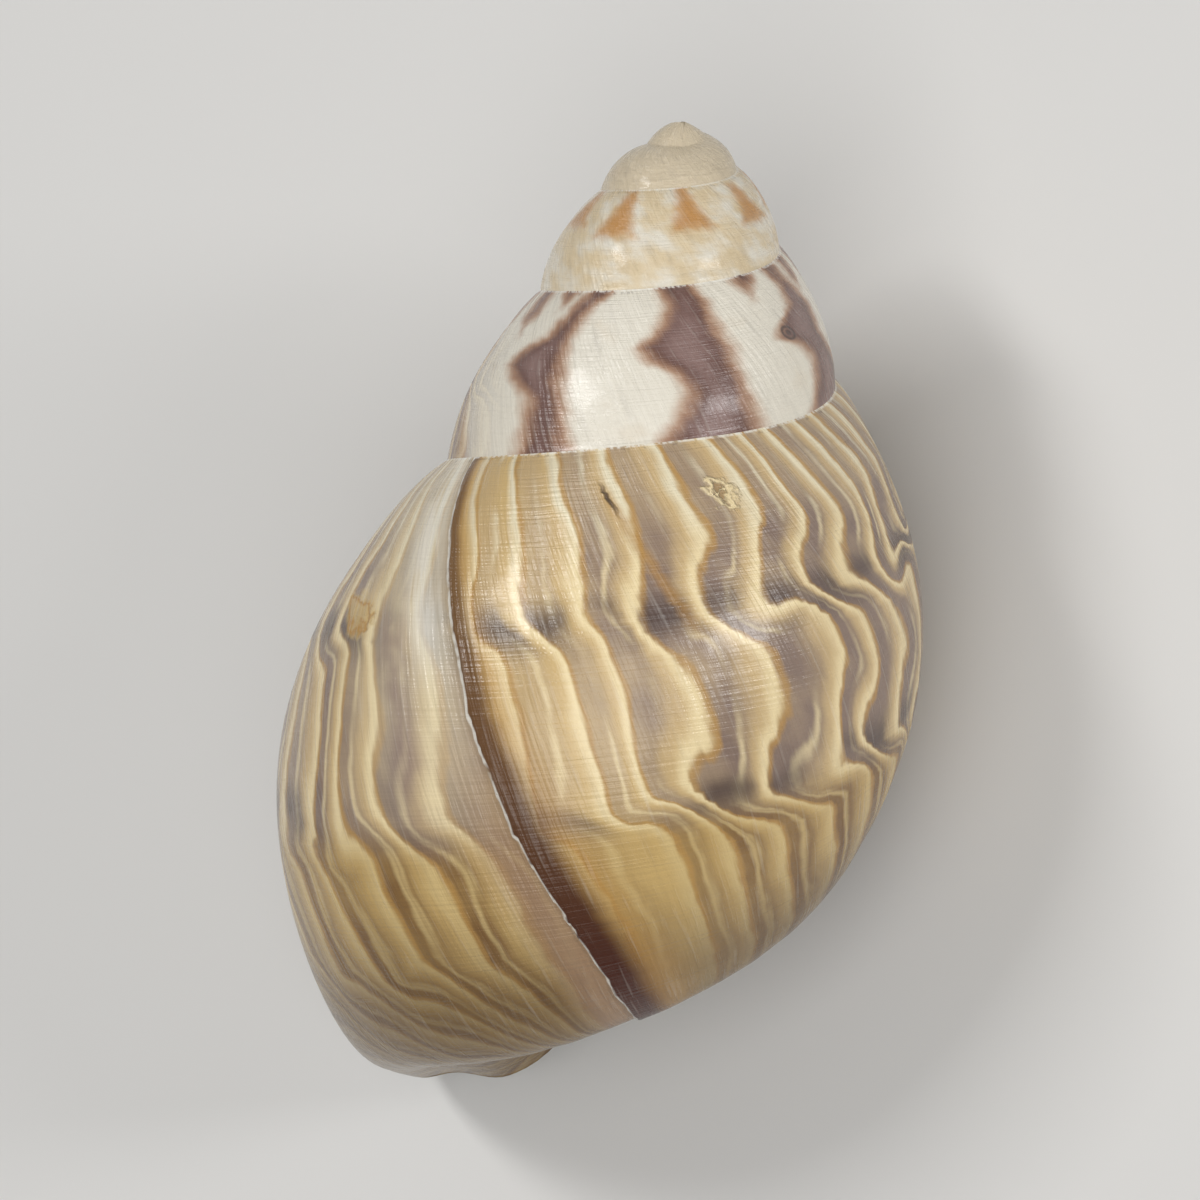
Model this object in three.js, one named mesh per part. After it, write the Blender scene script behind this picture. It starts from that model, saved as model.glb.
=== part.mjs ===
// A land snail shell: one right-handed (dextral) conical spiral of about five whorls, grown as a
// single piece of aragonite. It is hollow, its mouth is open and its axis is a slim solid pillar.
//
// The whorls are one cross-section carried round an upright axis while it grows. Position along
// the growth is measured in whorls: 0 is where the section faces -Y, negative is towards the
// apex. While it is worked out the shell hangs from its apex: heights are measured downwards
// from the point where the cone of whorls would vanish. At the end it is laid on its mouth.
import * as THREE from 'three';

// Driving dimensions, in millimetres and whorls.
const WHORL_RADIUS = 12.16;      // axis to the middle of the section, at whorl 0
const WHORL_DEPTH = 42.7;        // vanishing point down to the middle of the section, at whorl 0
const SECTION_HALF_WIDTH = 9.35;
const SECTION_HALF_HEIGHT = 19.8;
const SECTION_LOBES = [-0.011, 0.008, 0.031];  // parts of sin 3a, cos 3a and cos 4a
const FOOT_SQUARENESS = 2.9;     // 2 would leave the section's inner foot an ellipse
const FILLING_START = 0.1;       // cosines between which the section's foot is filled inwards
const FILLING_WIDTH = 0.5;
const SECTION_LEAN = 0.087;      // radians, the section leans outwards at its foot
const RADIAL_GROWTH = 0.489;     // growth rates, exponents per whorl
const AXIAL_GROWTH = [0.454, -0.1425, -0.0383];
const LAST_WHORL_DROP = 4.9;     // the last half whorl leaves the cone, downwards and outwards
const LAST_WHORL_FLARE = 0.084;
const DROP_START = -0.05;
const DROP_END = 0.5;
const LAST_FOOT = 0.05;          // the section's foot grows deeper by this part on the last whorl
const FOOT_START = -0.35;
const FOOT_SWELLING = 0.07;      // and by this part more about the old lip
const OLD_LIP_FOOT = 0.05;
const SWELLING_WIDTH = 0.13;
const MOUTH_AT = 0.5;            // the lip meets the seam here
const LIP_LAG = 0.18;            // the foot of the lip trails its seam end by this much
const LAG_CURVE = 1.4;           // 1 would let it fall back evenly, more lets it do so early
const FOOT_ANGLE = -1.9;         // angle of the section where it has its whole lag
const APEX_DEPTH = 3.07;         // vanishing point down to the top of the apex
const FIRST_WHORL = -5;          // the strip of the first whorl starts at the pole
const SEAM_START = -4;           // where the seam leaves the pole of the apex
const NUCLEUS_END = -3;          // the small round whorls of the hatchling end here
const SPIRE_SETTLING = 1.6;      // the whorls after them take this long to reach their fullness
const NUCLEUS_BULGE = 0.45;
const APEX_CURVE = 0.6;          // 1 would let the seam leave the pole evenly, less lets it do so early
const APEX_BLUNTNESS = 3;        // 2 would make the apex a paraboloid, more flattens its top
const NAVEL_ANGLE = -2.65;       // the base turns in to the axis here, closing the navel
const NAVEL_PIT = 0.8;
const LIP_ROUNDNESS = 0.45;      // how far the lip's edge stands forward, as a part of its width
const ROUNDING_LIMIT = 0.6;      // and at the most this far
const WALL = 0.65;               // wall thickness at whorl 0
const PILLAR_WALL = 1.8;         // wall thickness beside the axis, at whorl 0
const WALL_GROWTH = 0.6;         // the wall thickens by this power of the whorls' width
const PILLAR_START = 0.1;        // cosines between which the wall thickens to the pillar's
const PILLAR_WIDTH = 0.7;
const AXIS_GAP = 0.1;            // the filled foot stops this far from the axis
const CAVITY_DEPTH = 2.9;        // the hollow reaches this far back from the mouth, in whorls

// The side of the hanging shell that faces the ground once it lies on its mouth: it is steady
// there, touching with the edge of its lip and with its belly.
const GROUND_SIDE = new THREE.Vector3(0.4542, 0.8389, -0.2998);

// How finely the surfaces are divided.
const STEPS_PER_WHORL = 36;
const HALVINGS = 40;
const ABOVE_SEAM = 2.6;          // angles of the section, in radians, known to lie on either side
const BELOW_SEAM = 0.2;          // of the place where it meets the whorl before
const BEHIND_PILLAR = -Math.PI - 0.6;
const SPIRE_ROWS = 6;
const ROUNDING_FADE = 20;        // lines across the lip over which its rounding fades at the inner end
const PLAIN_LINES = 50;          // the lines across the axis' face, which stay straight
const SIDE_ROWS = 10;
const FOOT_ROWS = 3;
const CAVITY_ROWS = 18;

const mix = (a, b, t) => a + (b - a) * t;
const smooth = (t) => {
  const x = Math.min(Math.max(t, 0), 1);
  return x * x * (3 - 2 * x);
};

// Scale and middle of the section at a place along the growth.
function growth(whorl) {
  const [g1, g2, g3] = AXIAL_GROWTH;
  const across = Math.exp(RADIAL_GROWTH * whorl);
  const along = Math.exp(g1 * whorl + g2 * whorl ** 2 + g3 * whorl ** 3);
  const late = smooth((whorl - DROP_START) / (DROP_END - DROP_START));
  const flare = 1 + LAST_WHORL_FLARE * late;
  const foot = LAST_FOOT * smooth((whorl - FOOT_START) / -FOOT_START)
    + FOOT_SWELLING * Math.exp(-(((whorl - OLD_LIP_FOOT) / SWELLING_WIDTH) ** 2));
  return { across, along, flare, drop: LAST_WHORL_DROP * late, foot };
}

// Outline of the section as a factor on its half sizes: an ellipse with low lobes, whose lower
// inner quarter is filled out to the axis so that the shell has no open navel.
function outline(angle) {
  const [sin3, cos3, cos4] = SECTION_LOBES;
  const lobes = 1 + sin3 * Math.sin(3 * angle) + cos3 * Math.cos(3 * angle)
    + cos4 * Math.cos(4 * angle);
  const inward = Math.max(-Math.cos(angle), 0);
  const reach = inward * SECTION_HALF_WIDTH / (WHORL_RADIUS - AXIS_GAP);
  const filled = (reach ** FOOT_SQUARENESS + Math.abs(Math.sin(angle)) ** FOOT_SQUARENESS)
    ** (-1 / FOOT_SQUARENESS);
  const lowerHalf = smooth(0.5 - 4 * Math.sin(angle));
  const inner = smooth((inward - FILLING_START) / FILLING_WIDTH) * lowerHalf;
  return mix(lobes, filled, inner);
}

// Radius and depth of a point of the section; inset moves it inwards, towards the middle.
function sectionPoint(angle, whorl, inset = 0) {
  const { across, along, flare, drop, foot } = growth(whorl);
  const deeper = 1 + foot * Math.max(-Math.sin(angle), 0);
  const e = SECTION_HALF_WIDTH * outline(angle) * Math.cos(angle);
  const f = SECTION_HALF_HEIGHT * outline(angle) * Math.sin(angle) * deeper;
  const x = (e * Math.cos(SECTION_LEAN) - f * Math.sin(SECTION_LEAN)) * across * flare;
  const y = (e * Math.sin(SECTION_LEAN) + f * Math.cos(SECTION_LEAN)) * along;
  const keep = 1 - inset / Math.hypot(x, y);
  return [WHORL_RADIUS * across * flare + x * keep, WHORL_DEPTH * along + drop - y * keep];
}

// Where a point lies in the section at a whorl: its angle, and its distance from the middle as a
// part of the distance to the outline.
function placeInSection(r, depth, whorl) {
  const { across, along, flare, drop } = growth(whorl);
  const x = r / across / flare - WHORL_RADIUS;
  const y = WHORL_DEPTH - (depth - drop) / along;
  const e = (x * Math.cos(SECTION_LEAN) + y * Math.sin(SECTION_LEAN)) / SECTION_HALF_WIDTH;
  const f = (y * Math.cos(SECTION_LEAN) - x * Math.sin(SECTION_LEAN)) / SECTION_HALF_HEIGHT;
  const angle = Math.atan2(f, e);
  return { angle, ratio: Math.hypot(e, f) / outline(angle) };
}

// Wall thickness: thin round the outside, thick where the section's foot meets the axis.
function wallAt(angle, whorl) {
  const beside = smooth((-Math.cos(angle) - PILLAR_START) / PILLAR_WIDTH);
  const pillarShare = Math.sin(angle) < 0 ? beside : 0;
  return mix(WALL, PILLAR_WALL, pillarShare) * growth(whorl).across ** WALL_GROWTH;
}

// Angle at which the section meets the one a whorl before it, found by halving: the section
// leaves the older whorl somewhere between the angles inside and outside.
function meetingAngle(whorl, inside, outside, inner) {
  let [a, b] = [inside, outside];
  for (let i = 0; i < HALVINGS; i++) {
    const angle = (a + b) / 2;
    const [r, depth] = sectionPoint(angle, whorl, inner ? wallAt(angle, whorl) : 0);
    if (placeInSection(r, depth, whorl - 1).ratio < 1) a = angle;
    else b = angle;
  }
  const [r, depth] = sectionPoint(b, whorl, inner ? wallAt(b, whorl) : 0);
  const older = placeInSection(r, depth, whorl - 1).angle;
  return { angle: b, older, r, depth };
}

// The seam on the outside, and the two edges of the hollow: its roof and its end at the pillar.
const seamAt = (whorl) => meetingAngle(whorl, ABOVE_SEAM, BELOW_SEAM, false);
const roofAt = (whorl) => meetingAngle(whorl, ABOVE_SEAM, 0, true);
const pillarAt = (whorl) => meetingAngle(whorl, BEHIND_PILLAR, -Math.PI / 2, true);

// How far the lip trails its seam end at an angle of the section: nothing at the seam, the whole
// lag once the lip has come round to the foot. Growth lines run the same way.
function lipLag(angle, seamAngle) {
  const turned = Math.min(Math.max((seamAngle - angle) / (seamAngle - FOOT_ANGLE), 0), 1);
  return LIP_LAG * (1 - (1 - turned) ** LAG_CURVE);
}

// Vertices are kept once each and shared by every surface that meets there.
const positions = [];
const triangles = [];

function vertex(r, depth, whorl) {
  const turn = 2 * Math.PI * whorl;
  positions.push(-r * Math.sin(turn), -r * Math.cos(turn), -depth);
  return positions.length / 3 - 1;
}

function triangle(a, b, c) {
  if (a !== b && b !== c && c !== a) triangles.push(a, b, c);
}

// A strip of squares between two columns of the same length, facing away from the axis where
// the second column is the younger one.
function strip(older, younger) {
  for (let j = 0; j + 1 < older.length; j++) {
    triangle(older[j], younger[j + 1], older[j + 1]);
    triangle(older[j], younger[j], younger[j + 1]);
  }
}

const distance = (a, b) => Math.hypot(
  positions[3 * a] - positions[3 * b],
  positions[3 * a + 1] - positions[3 * b + 1],
  positions[3 * a + 2] - positions[3 * b + 2],
);

// A band between two lines of different lengths, always closed across the shorter diagonal. It
// can be rounded: then the lines across it get a point in their middle, pushed the way the shell
// grows by a part of their length. The lines at either end stay straight.
function band(left, right, roundness = 0) {
  const middle = (i, j) => {
    const toEnd = left.length + right.length - 2 - i - j;
    if (roundness === 0 || i + j === 0 || toEnd < PLAIN_LINES) return right[j];
    const [x, y] = positions.slice(3 * left[i], 3 * left[i] + 2);
    const forward = [y / Math.hypot(x, y), -x / Math.hypot(x, y), 0];
    const fade = smooth((toEnd - PLAIN_LINES) / ROUNDING_FADE);
    const push = Math.min(roundness * distance(left[i], right[j]), ROUNDING_LIMIT) * fade;
    for (let k = 0; k < 3; k++) {
      const halfway = (positions[3 * left[i] + k] + positions[3 * right[j] + k]) / 2;
      positions.push(halfway + push * forward[k]);
    }
    return positions.length / 3 - 1;
  };
  let [i, j] = [0, 0];
  let ridge = right[0];
  while (i + 1 < left.length || j + 1 < right.length) {
    const leftNext = i + 1 < left.length ? distance(left[i + 1], right[j]) : Infinity;
    const rightNext = j + 1 < right.length ? distance(left[i], right[j + 1]) : Infinity;
    const [p, q] = leftNext <= rightNext ? [i + 1, j] : [i, j + 1];
    const nextRidge = middle(p, q);
    triangle(left[i], left[p], nextRidge);
    triangle(left[i], nextRidge, ridge);
    triangle(ridge, nextRidge, right[q]);
    triangle(ridge, right[q], right[j]);
    [i, j, ridge] = [p, q, nextRidge];
  }
}

// Columns of vertices stand side by side along the growth, the last one at the mouth.
const MOUTH = (MOUTH_AT - FIRST_WHORL) * STEPS_PER_WHORL;
const LAST_WHORL = MOUTH - STEPS_PER_WHORL;
const whorlOf = (column) => FIRST_WHORL + column / STEPS_PER_WHORL;

// The seam between the whorls: on the apex it winds out from the pole over a low dome.
const nucleusEdge = seamAt(NUCLEUS_END);
const grownEdge = seamAt(NUCLEUS_END + 1);

function seamPoint(whorl) {
  if (whorl >= NUCLEUS_END) return seamAt(whorl);
  const out = (Math.max(whorl - SEAM_START, 0) / (NUCLEUS_END - SEAM_START)) ** APEX_CURVE;
  return { r: nucleusEdge.r * out, depth: mix(APEX_DEPTH, nucleusEdge.depth, out ** APEX_BLUNTNESS) };
}

function seamLine() {
  const line = [];
  let pole = null;
  for (let column = 0; column <= MOUTH; column++) {
    const whorl = whorlOf(column);
    const { r, depth } = seamPoint(whorl);
    if (r > 0 || pole === null) line.push(vertex(r, depth, whorl));
    else line.push(pole);
    if (r === 0) pole = line[column];
  }
  return line;
}

// A point of the open face of a whorl, from the seam above it (0) to the seam below it (1).
function spirePoint(whorl, down) {
  const top = seamPoint(whorl);
  const foot = seamPoint(whorl + 1);
  const size = Math.min(1, foot.r / grownEdge.r);
  const bulge = NUCLEUS_BULGE * 4 * down * (1 - down) * size ** 2;
  const chord = [mix(top.r, foot.r, down) + bulge, mix(top.depth, foot.depth, down) - bulge];
  if (whorl < NUCLEUS_END) return chord;
  const angle = mix(top.angle, seamAt(whorl + 1).older, down);
  const grown = sectionPoint(angle, whorl);
  const ready = smooth((whorl - NUCLEUS_END) / SPIRE_SETTLING);
  return [mix(chord[0], grown[0], ready), mix(chord[1], grown[1], ready)];
}

function spireColumn(column, seam) {
  const whorl = whorlOf(column);
  const [top, foot] = [seam[column], seam[column + STEPS_PER_WHORL]];
  const rows = [top];
  for (let j = 1; j < SPIRE_ROWS; j++) {
    if (foot === top) rows.push(top);
    else rows.push(vertex(...spirePoint(whorl, j / SPIRE_ROWS), whorl));
  }
  rows.push(foot);
  return rows;
}

// The hollow: the wall's inner face from its roof, round the mouth side, to the pillar.
function cavityColumn(column) {
  const whorl = whorlOf(column);
  const roof = roofAt(whorl);
  const pillar = pillarAt(whorl - LIP_LAG);
  const rows = [vertex(roof.r, roof.depth, whorl)];
  for (let j = 1; j < CAVITY_ROWS; j++) {
    const angle = mix(roof.angle, pillar.angle, j / CAVITY_ROWS);
    const at = whorl - lipLag(angle, roof.angle);
    rows.push(vertex(...sectionPoint(angle, at, wallAt(angle, at)), at));
  }
  rows.push(vertex(pillar.r, pillar.depth, whorl - LIP_LAG));
  return { rows, roof, pillar };
}

// The older whorl's outer face where it is the inner side of the hollow.
function innerSideColumn(column, { rows, roof, pillar }) {
  const whorl = whorlOf(column) - 1;
  const side = [rows[0]];
  for (let j = 1; j < SIDE_ROWS; j++) {
    const at = whorl - LIP_LAG * smooth(j / SIDE_ROWS);
    side.push(vertex(...sectionPoint(mix(roof.older, pillar.older, j / SIDE_ROWS), at), at));
  }
  side.push(rows[CAVITY_ROWS]);
  return side;
}

// The last whorl's outer face, from the seam down over the base to the axis. Its first column
// passes through the mouth: part of it is shared with the spire and with the hollow's side.
function firstBaseColumn(spire, side, pillar) {
  const whorl = whorlOf(LAST_WHORL) - LIP_LAG;
  const rows = [...spire, ...side];
  for (let j = 1; j < FOOT_ROWS; j++) {
    const angle = mix(pillar.older, NAVEL_ANGLE, j / (FOOT_ROWS - 1));
    rows.push(vertex(...sectionPoint(angle, whorl), whorl));
  }
  rows.push(axisVertex(whorl));
  return rows;
}

// Where the base ends, on the axis.
function axisVertex(whorl) {
  return vertex(0, sectionPoint(NAVEL_ANGLE, whorl)[1] - NAVEL_PIT, whorl);
}

// A later column of that face. The first runs straight down the mouth's inner side; they come
// round by and by to the line of the lip, which the last one follows.
function baseColumn(column, seam, { roof, pillar }) {
  const share = (column - LAST_WHORL) / STEPS_PER_WHORL;
  const top = seamAt(whorlOf(column)).angle;
  const edge = seamAt(MOUTH_AT).older;
  const rows = [seam[column]];
  const add = (angle, lagAtStart) => {
    const at = whorlOf(column) - mix(lagAtStart, lipLag(angle, top), share);
    rows.push(vertex(...sectionPoint(angle, at), at));
  };
  for (let j = 1; j <= SPIRE_ROWS; j++) add(mix(top, edge, j / SPIRE_ROWS), 0);
  for (let j = 0; j <= SIDE_ROWS; j++) {
    add(mix(roof.older, pillar.older, j / SIDE_ROWS), LIP_LAG * smooth(j / SIDE_ROWS));
  }
  for (let j = 1; j < FOOT_ROWS; j++) {
    add(mix(pillar.older, NAVEL_ANGLE, j / (FOOT_ROWS - 1)), LIP_LAG);
  }
  rows.push(axisVertex(whorlOf(column) - LIP_LAG));
  return rows;
}

function buildSurface() {
  const seam = seamLine();
  const spire = [];
  for (let column = 0; column <= LAST_WHORL; column++) {
    spire.push(spireColumn(column, seam));
    if (column > 0) strip(spire[column - 1], spire[column]);
  }

  const deepest = MOUTH - Math.round(CAVITY_DEPTH * STEPS_PER_WHORL);
  let [hollow, side] = [null, null];
  for (let column = deepest; column <= MOUTH; column++) {
    const nextHollow = cavityColumn(column);
    const nextSide = innerSideColumn(column, nextHollow);
    if (hollow) {
      strip(nextHollow.rows, hollow.rows);
      strip(side, nextSide);
    } else {
      band(nextSide, nextHollow.rows);
    }
    [hollow, side] = [nextHollow, nextSide];
  }

  let base = firstBaseColumn(spire[LAST_WHORL], side, hollow.pillar);
  const axisEnd = [...base.slice(-FOOT_ROWS)];
  for (let column = LAST_WHORL + 1; column <= MOUTH; column++) {
    const next = baseColumn(column, seam, hollow);
    strip(base, next);
    base = next;
    if (column < MOUTH) axisEnd.push(base[base.length - 1]);
  }
  band(hollow.rows, [...base, ...axisEnd.reverse()], LIP_ROUNDNESS);
}

// Turns the shell so that it lies on the edge of its mouth and its belly, apex towards +Y, and
// puts the middle of its box over the origin, on the ground.
function layOnMouth(mesh) {
  const down = new THREE.Vector3(0, 0, -1);
  mesh.quaternion.setFromUnitVectors(GROUND_SIDE.clone().normalize(), down);
  const apex = new THREE.Vector3(0, 0, 1).applyQuaternion(mesh.quaternion);
  const turn = new THREE.Quaternion().setFromAxisAngle(down, -Math.atan2(apex.x, apex.y));
  mesh.quaternion.premultiply(turn);
  const box = new THREE.Box3().setFromObject(mesh, true);
  mesh.position.set(-(box.min.x + box.max.x) / 2, -(box.min.y + box.max.y) / 2, -box.min.z);
}

buildSurface();
const geometry = new THREE.BufferGeometry();
geometry.setAttribute('position', new THREE.Float32BufferAttribute(positions, 3));
geometry.setIndex(triangles);
geometry.computeVertexNormals();

const shell = new THREE.Mesh(
  geometry,
  new THREE.MeshStandardMaterial({ color: 0xb89a72, roughness: 0.3, metalness: 0 }),
);
shell.name = 'shell';
layOnMouth(shell);

const model = new THREE.Group();
model.add(shell);

export default model;
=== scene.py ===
import math

import bmesh
import bpy
import numpy as np
from mathutils import Matrix, Vector


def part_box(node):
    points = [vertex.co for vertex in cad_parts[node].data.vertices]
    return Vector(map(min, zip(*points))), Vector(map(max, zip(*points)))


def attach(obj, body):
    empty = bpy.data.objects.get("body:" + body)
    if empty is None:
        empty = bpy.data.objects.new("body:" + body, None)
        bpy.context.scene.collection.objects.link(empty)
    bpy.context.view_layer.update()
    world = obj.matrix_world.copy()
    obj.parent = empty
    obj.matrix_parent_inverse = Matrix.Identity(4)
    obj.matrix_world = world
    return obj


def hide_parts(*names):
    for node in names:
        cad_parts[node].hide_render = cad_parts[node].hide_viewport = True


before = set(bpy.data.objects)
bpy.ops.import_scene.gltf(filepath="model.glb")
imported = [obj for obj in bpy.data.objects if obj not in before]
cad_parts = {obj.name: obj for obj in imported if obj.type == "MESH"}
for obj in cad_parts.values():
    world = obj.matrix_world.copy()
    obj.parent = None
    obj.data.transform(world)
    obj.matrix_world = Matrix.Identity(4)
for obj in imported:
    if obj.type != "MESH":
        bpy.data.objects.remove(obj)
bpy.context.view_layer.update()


# ---------------------------------------------------------------------------------------------
# The shell's form. One right-handed spiral: a section carried round an upright axis while it
# grows, the same surface as the solid in the frame but finely divided, with its old lip, seams
# and growth ripples as relief. Millimetres and whorls here; metres once it is laid down.

WHORL_RADIUS = 12.16
WHORL_DEPTH = 42.7
HALF_WIDTH = 9.35
HALF_HEIGHT = 19.8
FOOT_SQUARENESS = 2.9
LEAN = 0.087
RADIAL_GROWTH = 0.489
AXIAL_GROWTH = (0.454, -0.1425, -0.0383)
LAST_WHORL_DROP = 4.9
LAST_WHORL_FLARE = 0.084
DROP_START = -0.05
DROP_END = 0.5
LAST_FOOT = 0.05
FOOT_START = -0.35
FOOT_SWELLING = 0.07
OLD_LIP_FOOT = 0.05
SWELLING_WIDTH = 0.13
MOUTH_AT = 0.5
LIP_LAG = 0.18
FOOT_ANGLE = -1.9
APEX_DEPTH = 3.07
FIRST_WHORL = -5.0
SEAM_START = -4.0
NUCLEUS_END = -3.0
SPIRE_SETTLING = 1.6
NUCLEUS_BULGE = 0.45
APEX_CURVE = 0.6
APEX_BLUNTNESS = 3.0
NAVEL_ANGLE = -2.65
NAVEL_PIT = 0.8
WALL = 0.65
PILLAR_WALL = 1.8
CAVITY_DEPTH = 2.9
GROUND_SIDE = (0.4542, 0.8389, -0.2998)
OLD_LIP = 0.175
OLD_LIP_HEIGHT = 0.3


def smooth(t):
    """0 below 0, 1 above 1, and 3t^2 - 2t^3 between."""
    x = np.clip(t, 0.0, 1.0)
    return x * x * (3 - 2 * x)


def mix(a, b, t):
    """a where t is 0, b where t is 1, on a straight line between."""
    return a + (b - a) * t


def growth(whorl):
    """Scale across, scale along the axis, flare, drop and foot swelling of the section."""
    across = np.exp(RADIAL_GROWTH * whorl)
    along = np.exp(sum(g * whorl ** (k + 1) for k, g in enumerate(AXIAL_GROWTH)))
    late = smooth((whorl - DROP_START) / (DROP_END - DROP_START))
    foot = LAST_FOOT * smooth((whorl - FOOT_START) / -FOOT_START)
    foot = foot + FOOT_SWELLING * np.exp(-(((whorl - OLD_LIP_FOOT) / SWELLING_WIDTH) ** 2))
    return across, along, 1 + LAST_WHORL_FLARE * late, LAST_WHORL_DROP * late, foot


def outline(angle):
    """An ellipse with low lobes; its lower inner quarter is filled out to the axis."""
    lobes = 1 - 0.011 * np.sin(3 * angle) + 0.008 * np.cos(3 * angle)
    lobes = lobes + 0.031 * np.cos(4 * angle)
    inward = np.maximum(-np.cos(angle), 0)
    reach = inward * HALF_WIDTH / (WHORL_RADIUS - 0.1)
    n = FOOT_SQUARENESS
    filled = (reach ** n + np.abs(np.sin(angle)) ** n + 1e-9) ** (-1 / n)
    inner = smooth((inward - 0.1) / 0.5) * smooth(0.5 - 4 * np.sin(angle))
    return mix(lobes, filled, inner)


def section_point(angle, whorl, inset=0.0):
    """Radius and depth of the section's outline at an angle, moved inwards by inset."""
    across, along, flare, drop, foot = growth(whorl)
    deeper = 1 + foot * np.maximum(-np.sin(angle), 0)
    e = HALF_WIDTH * outline(angle) * np.cos(angle)
    f = HALF_HEIGHT * outline(angle) * np.sin(angle) * deeper
    x = (e * math.cos(LEAN) - f * math.sin(LEAN)) * across * flare
    y = (e * math.sin(LEAN) + f * math.cos(LEAN)) * along
    keep = 1 - inset / np.hypot(x, y)
    return WHORL_RADIUS * across * flare + x * keep, WHORL_DEPTH * along + drop - y * keep


def place_in_section(r, depth, whorl):
    """Angle of a point in the section at a whorl, and its distance out, 1 on the outline."""
    across, along, flare, drop, _ = growth(whorl)
    x = r / across / flare - WHORL_RADIUS
    y = WHORL_DEPTH - (depth - drop) / along
    e = (x * math.cos(LEAN) + y * math.sin(LEAN)) / HALF_WIDTH
    f = (y * math.cos(LEAN) - x * math.sin(LEAN)) / HALF_HEIGHT
    angle = np.arctan2(f, e)
    return angle, np.hypot(e, f) / outline(angle)


def wall_at(angle, whorl):
    """Wall thickness: thin all round, thick beside the axis, growing with the shell."""
    share = np.where(np.sin(angle) < 0, smooth((-np.cos(angle) - 0.1) / 0.7), 0)
    return mix(WALL, PILLAR_WALL, share) * growth(whorl)[0] ** 0.6


def meeting(whorl, inside, outside, inner):
    """Angle where the section leaves the one a whorl older, found by halving; the older angle."""
    a = np.full_like(whorl, inside)
    b = np.full_like(whorl, outside)
    for _ in range(40):
        angle = (a + b) / 2
        r, depth = section_point(angle, whorl, wall_at(angle, whorl) if inner else 0.0)
        within = place_in_section(r, depth, whorl - 1)[1] < 1
        a = np.where(within, angle, a)
        b = np.where(within, b, angle)
    r, depth = section_point(b, whorl, wall_at(b, whorl) if inner else 0.0)
    return b, place_in_section(r, depth, whorl - 1)[0], r, depth


def lip_lag(angle, seam_angle):
    """How far a growth line trails its seam end: nothing there, all of it at the foot."""
    turned = np.clip((seam_angle - angle) / (seam_angle - FOOT_ANGLE), 0, 1)
    return LIP_LAG * (1 - (1 - turned) ** 1.4)


def hanging(r, depth, whorl):
    """Points from radius, depth and whorl, for the shell hanging from its apex."""
    turn = 2 * np.pi * whorl
    return np.stack([-r * np.sin(turn), -r * np.cos(turn), -depth + 0 * turn], axis=-1)


# Columns of points, closer together about the old lip, the same in every whorl.
PER_WHORL = 228
CLOSER = 4.0
t = np.linspace(0, 1, 4001)
density = 1 + (CLOSER - 1) * smooth((0.075 - np.abs(t - 0.64)) / 0.015)
steps = np.concatenate([[0], np.cumsum((density[1:] + density[:-1]) / 2)])
turns_in_whorl = np.interp(np.arange(PER_WHORL) / PER_WHORL, steps / steps[-1], t)
columns = np.arange(round(5.5 * PER_WHORL) + 1)
columns = columns - PER_WHORL // 2
whorls = FIRST_WHORL + 0.5 + columns // PER_WHORL + turns_in_whorl[columns % PER_WHORL]
mouth = len(whorls) - 1
last = mouth - PER_WHORL

# The seam: from the meeting of each whorl with the one before; on the apex over a low dome.
grown = whorls >= NUCLEUS_END - 1e-9
seam_angle, seam_older, seam_r, seam_depth = meeting(np.maximum(whorls, NUCLEUS_END), 2.6, 0.2, False)
edge_r, edge_depth = seam_r[grown][0], seam_depth[grown][0]
grown_r = seam_r[grown][PER_WHORL]
out = np.clip((whorls - SEAM_START) / (NUCLEUS_END - SEAM_START), 0, 1) ** APEX_CURVE
seam_r = np.where(grown, seam_r, edge_r * out)
seam_depth = np.where(grown, seam_depth, mix(APEX_DEPTH, edge_depth, out ** APEX_BLUNTNESS))


def old_lip_at(angle):
    """The turn of the old lip's chipped edge: the growth line with small bays and points."""
    chips = 0.0007 * np.sin(11 * angle + 2 * np.sin(5 * angle))
    chips = chips + 0.0008 * np.sin(57 * angle + 3 * np.sin(17 * angle)) * np.sin(9 * angle + 1)
    return OLD_LIP - 0.018 * smooth((0.2 - angle) / 1.8) + chips * smooth(1.6 - angle)


def relief(turn, angle):
    """Millimetres that the outer face stands out: the shell grew on from under its old lip, and
    came back up to its full size after it; ripples of growth lie all over."""
    since = turn - old_lip_at(angle)
    step = np.where(since > 0, smooth(1 - since / 0.12), 0)
    length = 21.5 / RADIAL_GROWTH * 2 * np.pi * np.exp(RADIAL_GROWTH * turn)
    ripple = np.sin(length / 0.9 + 2 * np.sin(length / 7 + angle)) * np.sin(length / 3.7 + 2 * angle)
    return -OLD_LIP_HEIGHT * step + 0.03 * ripple * np.exp(RADIAL_GROWTH * np.minimum(turn, 0))


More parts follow.
